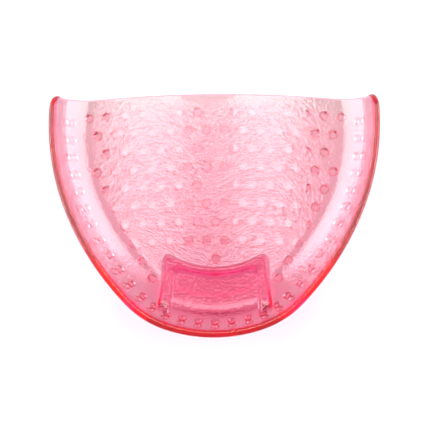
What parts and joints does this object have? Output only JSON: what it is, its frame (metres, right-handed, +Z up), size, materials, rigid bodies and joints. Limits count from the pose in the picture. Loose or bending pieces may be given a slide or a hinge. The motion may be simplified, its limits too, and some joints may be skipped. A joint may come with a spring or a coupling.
{
  "type": "facial cleansing brush",
  "caption": "Finger-held facial cleansing pad: a soft clear scoop with a steep wall, a dished grip block at the tip and short round nubs all over its outside.",
  "frame": {"origin": "on the surface that the pad lies on, under the middle of its length and width", "axes": "+X across the width, +Y from the tip towards the flat open edge, +Z up out of the hollow"},
  "size_m": [0.0662, 0.0523, 0.0143],
  "materials": {
    "clear_pink_skin": "glossy translucent silicone with a fine orange-peel texture",
    "deep_pink_grip": "the same translucent silicone, deeper in colour because it is thicker",
    "clear_pink_nubs": "glossy translucent silicone"
  },
  "bodies": {
    "root": {"pad_shell": "clear_pink_skin", "rim_bead": "clear_pink_skin", "grip_plate": "deep_pink_grip", "grip_ridge": "deep_pink_grip", "floor_nubs_row_01": "clear_pink_nubs", "floor_nubs_row_02": "clear_pink_nubs", "floor_nubs_row_03": "clear_pink_nubs", "floor_nubs_row_04": "clear_pink_nubs", "floor_nubs_row_05": "clear_pink_nubs", "floor_nubs_row_06": "clear_pink_nubs", "floor_nubs_row_07": "clear_pink_nubs", "floor_nubs_row_08": "clear_pink_nubs", "floor_nubs_row_09": "clear_pink_nubs", "floor_nubs_row_10": "clear_pink_nubs", "wall_nubs_upper": "clear_pink_nubs", "wall_nubs_lower": "clear_pink_nubs"}
  },
  "joints": []
}
